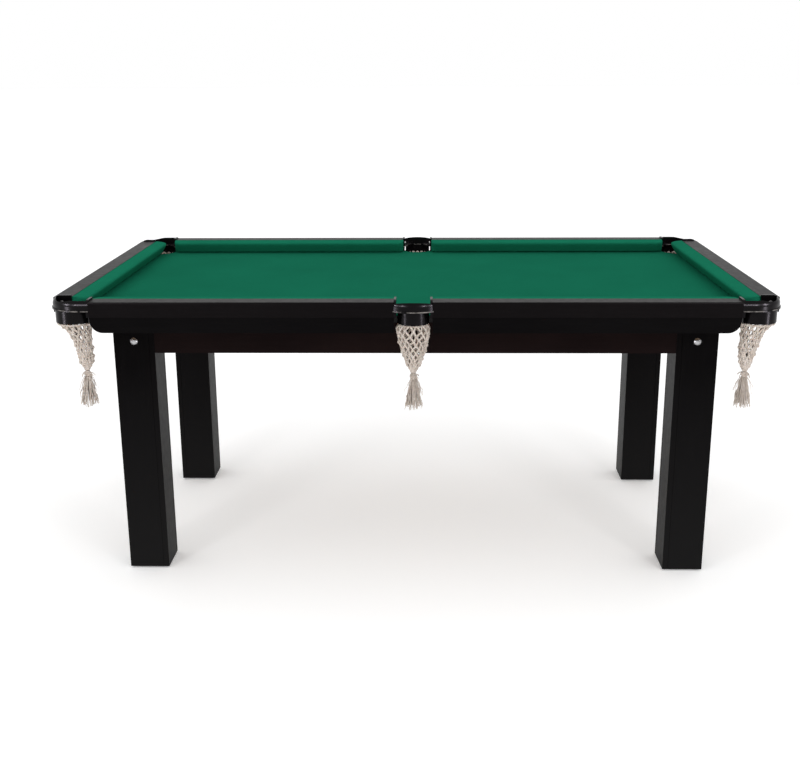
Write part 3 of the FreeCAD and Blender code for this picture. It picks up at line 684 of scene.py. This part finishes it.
def tassel(name, node, body, seed):
    """Wound knot and a loose brush of cord ends."""
    rng = random.Random(seed)
    low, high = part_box(node)
    cx, cy = (low[0] + high[0]) / 2, (low[1] + high[1]) / 2
    top = high[2]
    centre = Vector((cx, cy, top - KNOT_R - 0.0002))
    strands = Strands()
    strands.knob(centre, (KNOT_R * 0.78, KNOT_R * 0.78, KNOT_R * 0.9), 10, 14)
    for wind in range(WINDS):
        tilt = (Matrix.Rotation(rng.uniform(-0.5, 0.5), 4, "X")
                @ Matrix.Rotation(rng.uniform(-0.5, 0.5), 4, "Y"))
        points = []
        rise = (wind - (WINDS - 1) / 2) * 0.0021
        r = math.sqrt(max((KNOT_R * 0.82) ** 2 - rise ** 2, 1e-6))
        for i in range(25):
            angle = 2 * math.pi * i / 24
            points.append(centre + tilt @ Vector((r * math.cos(angle), r * math.sin(angle), rise)))
        strands.cord(points, 0.0018, 7)
    # short loose ends of the winding
    for _ in range(LOOSE_ENDS):
        angle = rng.uniform(0, 2 * math.pi)
        out = rng.uniform(0.012, 0.021)
        drop = rng.uniform(0.002, 0.014)
        points = []
        for t in shares(6):
            r = KNOT_R * 0.6 + (out - KNOT_R * 0.6) * t
            sink = drop * t * t - 0.004 * math.sin(math.pi * t)
            turn = angle + 0.4 * t
            points.append(centre + Vector((r * math.cos(turn), r * math.sin(turn), -sink)))
        strands.cord(points, rng.uniform(0.0009, 0.0014), 5)
    lowest = low[2] - TASSEL_HANG
    reach = (high[0] - low[0]) / 2 + TASSEL_PROUD
    for k in range(TASSEL_STRANDS):
        angle = rng.uniform(0, 2 * math.pi)
        spread = math.sqrt(rng.uniform(0.0, 1.0))
        stray = k < TASSEL_STRAYS
        foot_r = reach * (1.0 if stray else 0.24 + 0.66 * spread)
        start_r = 0.0055 * spread
        end_z = lowest + rng.uniform(0.0, 0.016) + (rng.uniform(0.012, 0.045) if stray else 0.0)
        start = centre + Vector((start_r * math.cos(angle), start_r * math.sin(angle), -KNOT_R * 0.55))
        fall = start.z - end_z
        wobble = rng.uniform(-0.5, 0.5)
        curl = rng.uniform(0.0010, 0.0034)
        phase = rng.uniform(0, 6.28)
        points = []
        for t in shares(STRAND_STEPS):
            r = start_r + (foot_r - start_r) * (t ** (0.55 if stray else 0.75))
            turn = angle + wobble * t
            shake = curl * math.sin(phase + t * 14.0) * t
            r = min(r + shake, reach)
            points.append(Vector((cx + r * math.cos(turn), cy + r * math.sin(turn) + shake * 0.5,
                                  start.z - fall * t)))
        thick = rng.uniform(0.0006, 0.0009) if stray else rng.uniform(0.0010, 0.0017)
        strands.cord(points, thick, 5, lambda t: 1.0 - 0.45 * t ** 3)
    piece = strands.piece(name, COTTON)
    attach(piece, body)
    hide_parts(node)


def mouth_centre(node, lean_way):
    """Centre of a net's mouth. A leaning net's mouth is half the net's width in from its outer end."""
    low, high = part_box(node)
    radius = (high[1] - low[1]) / 2
    if lean_way > 0:
        return low[0] + radius, (low[1] + high[1]) / 2
    if lean_way < 0:
        return high[0] - radius, (low[1] + high[1]) / 2
    return (low[0] + high[0]) / 2, (low[1] + high[1]) / 2


# The last number of each call seeds its random draws.
for number, (quarter, side_x) in enumerate(QUARTERS.items()):
    node = "net_" + quarter
    net("net_mesh_" + quarter, node, mouth_centre(node, -side_x), -side_x, CORNER_NET, 11 + number)
    tassel("tassel_" + quarter, "net_tail_" + quarter, "net_tail_" + quarter, 31 + number)
for number, side in enumerate(SIDES):
    node = "net_middle_" + side
    net("net_mesh_middle_" + side, node, mouth_centre(node, 0), 0, MIDDLE_NET, 21 + number)
    tassel("tassel_middle_" + side, "net_tail_middle_" + side, "net_tail_middle_" + side, 41 + number)

# ---- floor, light and camera ----------------------------------------------------------------


FLOOR_REACH = 60.0         # half the floor's width
FLOOR_GLOW = 0.20


def floor():
    """Plain pale floor, far larger than the view."""
    m = Nodes("pale_floor")
    tone = m.noise(0.8, 2.0)
    m.drive("Base Color", m.mix(m.spread(tone, 0.0, 1.0), (0.93, 0.93, 0.93), (0.95, 0.95, 0.95)))
    m.set(Roughness=0.75, Specular_IOR_Level=0.1, Emission_Color=(1.0, 1.0, 1.0, 1.0),
          Emission_Strength=FLOOR_GLOW)
    corners = [(x * FLOOR_REACH, y * FLOOR_REACH, 0) for x, y in ((-1, -1), (1, -1), (1, 1), (-1, 1))]
    piece = new_piece("floor", corners, [(0, 1, 2, 3)], m.mat, False)


floor()

world = bpy.data.worlds.new("studio")
bpy.context.scene.world = world
world.use_nodes = True
back = world.node_tree.nodes["Background"]
back.inputs["Color"].default_value = (1.0, 1.0, 1.0, 1.0)
back.inputs["Strength"].default_value = 1.0


GLINT_COLOUR = (0.96, 0.93, 1.0)
SOFTBOX_POWER = 15.0
GLINT_CORNER_POWER, GLINT_CUP_POWER, GLINT_MIDDLE_POWER = 130.0, 24.0, 70.0


def softbox(name, place, target, width, height, power, colour=(1.0, 1.0, 1.0)):
    """A rectangular lamp that the camera doesn't see."""
    light = bpy.data.lights.new(name, "AREA")
    light.shape = "RECTANGLE"
    light.size, light.size_y = width, height
    light.energy = power
    light.color = colour
    lamp = bpy.data.objects.new(name, light)
    lamp.location = place
    lamp.rotation_euler = (Vector(target) - Vector(place)).to_track_quat("-Z", "Y").to_euler()
    lamp.visible_camera = False
    bpy.context.scene.collection.objects.link(lamp)
    return lamp


def glint(name, place, target, width, height, power):
    """A small softbox that only shows as a highlight on glossy faces."""
    softbox(name, place, target, width, height, power, GLINT_COLOUR).visible_diffuse = False


softbox("front_left", (-2.1, -3.0, 2.1), (0.0, -0.3, 0.6), 0.5, 0.7, SOFTBOX_POWER)
softbox("front_right", (1.9, -3.0, 2.1), (0.0, -0.3, 0.6), 0.5, 0.7, SOFTBOX_POWER)
table_low, table_high = cad_box
POCKET_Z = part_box("casting_front_left")[0][2]
for name, side in ENDS.items():
    corner = (side * table_high[0], table_low[1], POCKET_Z)
    middle = (0.0, table_low[1], POCKET_Z)
    glint("glint_corner_" + name, (side * 3.48, -2.19, 2.0), corner, 0.5, 0.5, GLINT_CORNER_POWER)
    glint("glint_cup_" + name, (side * 2.9, -2.0, 0.25), corner, 0.3, 0.5, GLINT_CUP_POWER)
    glint("glint_middle_" + name, (side * 1.9, -3.0, 2.1), middle, 0.4, 0.5, GLINT_MIDDLE_POWER)

CAMERA_AT = Vector((0.0407, -3.3526, 1.4050))
PITCH, YAW, ROLL = math.radians(16.062), math.radians(-1.540), math.radians(0.333)
SENSOR_WIDTH, LENS = 36.0, 50.23             # millimetres
camera_data = bpy.data.cameras.new("camera")
camera_data.sensor_width = SENSOR_WIDTH
camera_data.lens = LENS
camera = bpy.data.objects.new("camera", camera_data)
bpy.context.scene.collection.objects.link(camera)
turn = (Matrix.Rotation(-YAW, 4, "Z") @ Matrix.Rotation(math.pi / 2 - PITCH, 4, "X")
        @ Matrix.Rotation(-ROLL, 4, "Z"))
camera.matrix_world = Matrix.Translation(CAMERA_AT) @ turn
bpy.context.scene.camera = camera
bpy.context.scene.view_settings.view_transform = "Standard"
